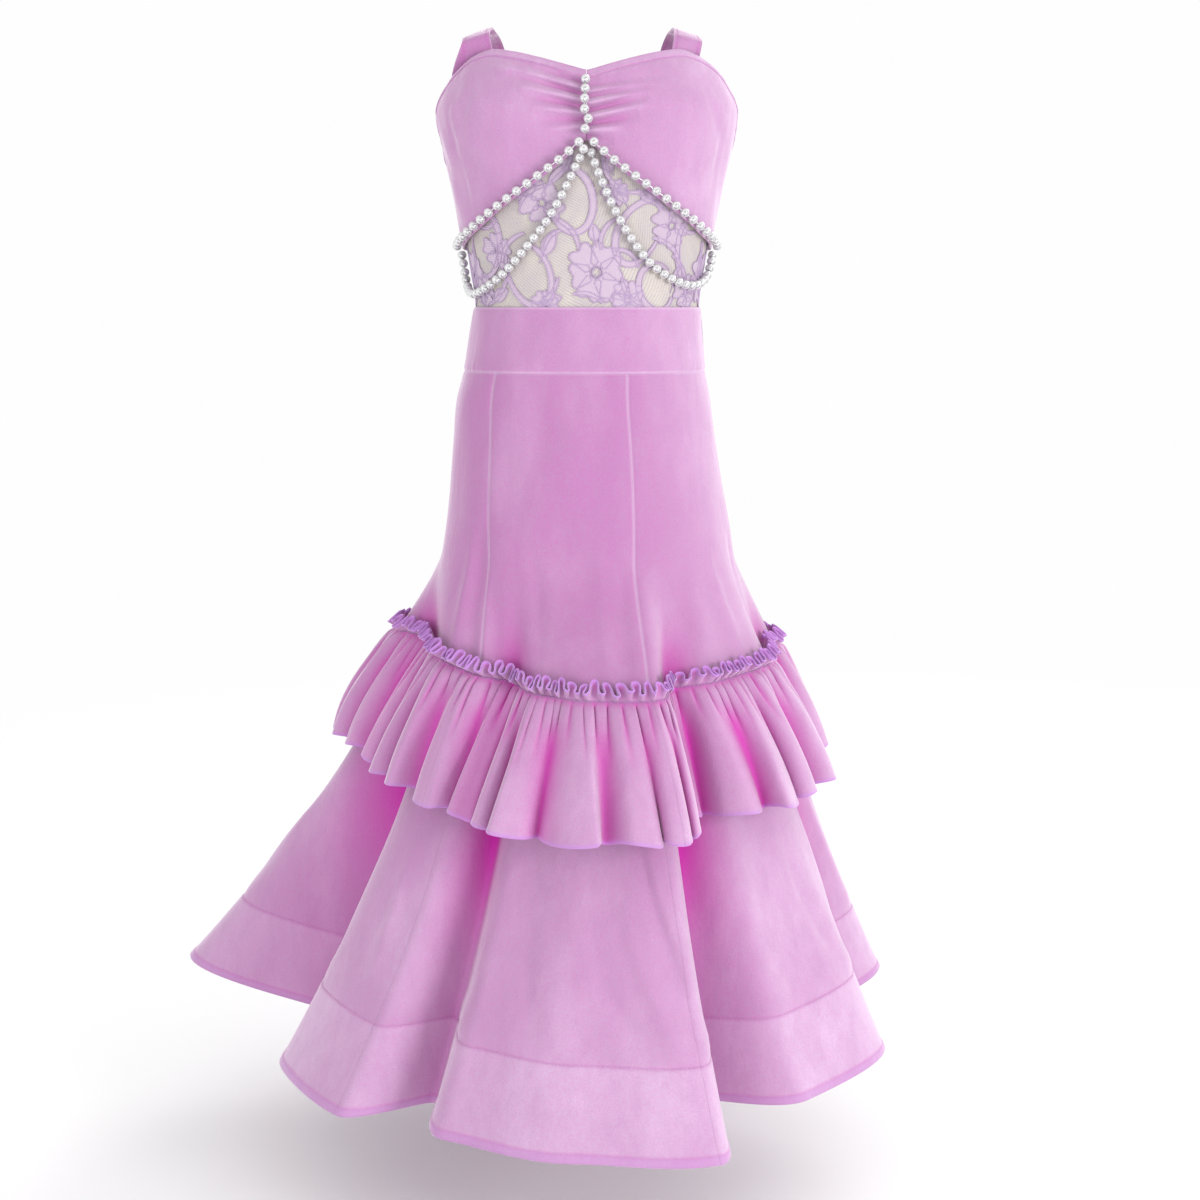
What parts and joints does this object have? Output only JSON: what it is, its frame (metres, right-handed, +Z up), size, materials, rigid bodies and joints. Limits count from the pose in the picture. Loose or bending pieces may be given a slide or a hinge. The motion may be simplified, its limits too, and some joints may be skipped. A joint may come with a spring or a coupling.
{
  "type": "ballroom dance dress",
  "caption": "Girl's ballroom dance dress in lilac velvet: gathered bodice, lace midriff, pearl strings, wide waistband, and a flared gored skirt with a gathered frill.",
  "frame": {"origin": "midway between the two shoulder straps, level with their inner edges where they cross the shoulders", "axes": "+Z up along the wearer's body, -Y out of the front of the dress, +X to the wearer's left"},
  "size_m": [0.6487, 0.5693, 0.8851],
  "materials": {
    "velvet_lilac": "soft stretch velvet pile with a pale sheen",
    "lace_lavender": "matt corded lace on fine net",
    "mesh_nude": "matt stretch mesh",
    "pearl_white": "glossy pearl coating"
  },
  "bodies": {
    "root": {"bodice_front_right": "velvet_lilac", "bodice_front_left": "velvet_lilac", "bodice_back": "velvet_lilac", "midriff_lining_front": "mesh_nude", "midriff_lace_front": "lace_lavender", "midriff_lining_back": "mesh_nude", "midriff_lace_back": "lace_lavender", "waistband_front": "velvet_lilac", "waistband_back": "velvet_lilac", "skirt_back": "velvet_lilac", "skirt_back_right": "velvet_lilac", "skirt_side_right": "velvet_lilac", "skirt_front": "velvet_lilac", "skirt_side_left": "velvet_lilac", "skirt_back_left": "velvet_lilac", "frill_back": "velvet_lilac", "frill_back_right": "velvet_lilac", "frill_side_right": "velvet_lilac", "frill_front": "velvet_lilac", "frill_side_left": "velvet_lilac", "frill_back_left": "velvet_lilac", "strap_right": "velvet_lilac", "strap_left": "velvet_lilac", "pearls_centre": "pearl_white", "pearls_edge_right": "pearl_white", "pearls_edge_left": "pearl_white", "pearls_swag_right": "pearl_white", "pearls_swag_left": "pearl_white"}
  },
  "joints": []
}
